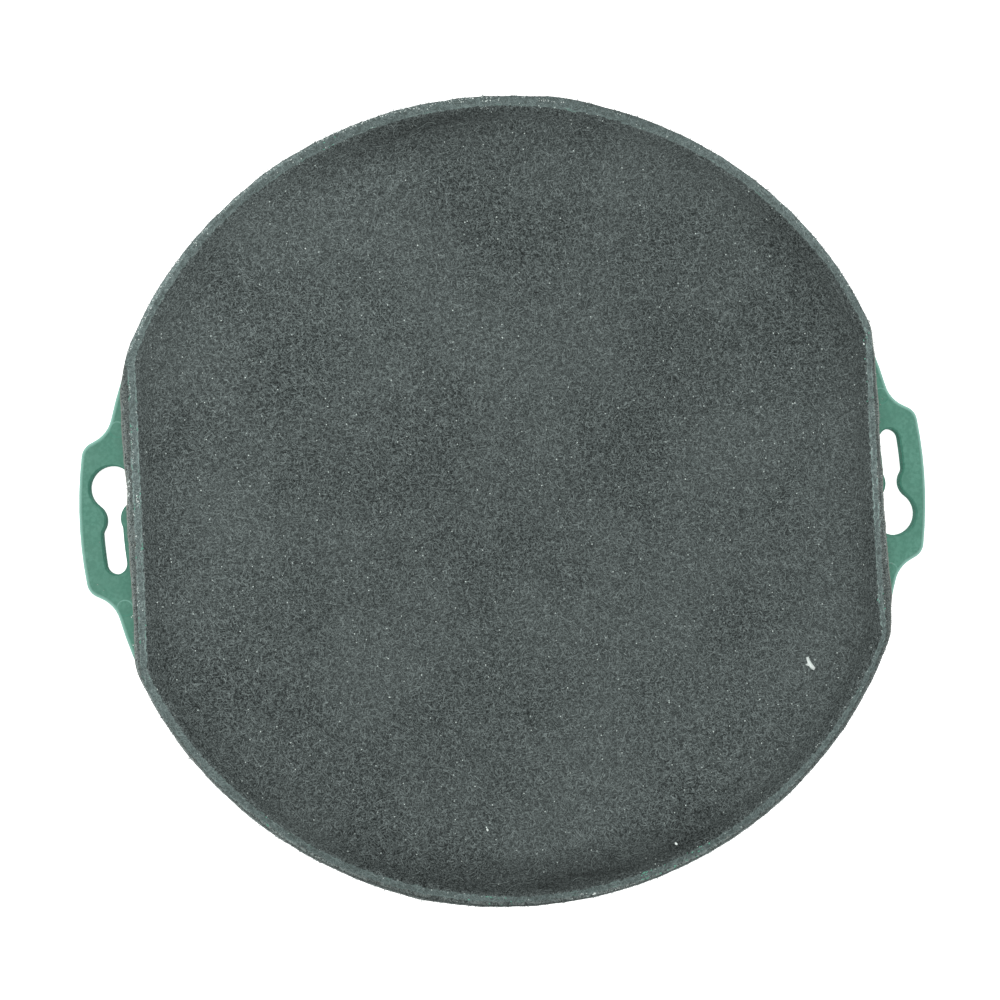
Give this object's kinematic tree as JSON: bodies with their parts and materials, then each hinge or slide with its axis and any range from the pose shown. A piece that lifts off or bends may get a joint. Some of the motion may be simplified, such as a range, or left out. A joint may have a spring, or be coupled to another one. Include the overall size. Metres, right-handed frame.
{
  "type": "cooker hood carbon filter",
  "caption": "Round cooker hood carbon filter: moulded tray with a ring grille, a bed of carbon granules, a welded felt cover and keyhole ears for a twist lock.",
  "frame": {"origin": "centre of the face that seats on the hood, at the bottom of the flange", "axes": "+Z from the seat face towards the cover felt, +X through the middle of one keyhole ear, +Y along the flats"},
  "size_m": [0.2114, 0.2, 0.0196],
  "materials": {
    "green_plastic": "smooth semi-matt moulded polypropylene, grey-green",
    "inner_fleece": "thin dark non-woven fleece",
    "carbon_granules": "loose matt black activated carbon granules",
    "carbon_felt": "dark grey non-woven felt with pale curly fibres, crimped at the weld"
  },
  "bodies": {
    "root": {"moulded_frame": "green_plastic", "inner_fleece": "inner_fleece", "carbon_bed": "carbon_granules", "cover_felt": "carbon_felt"}
  },
  "joints": []
}
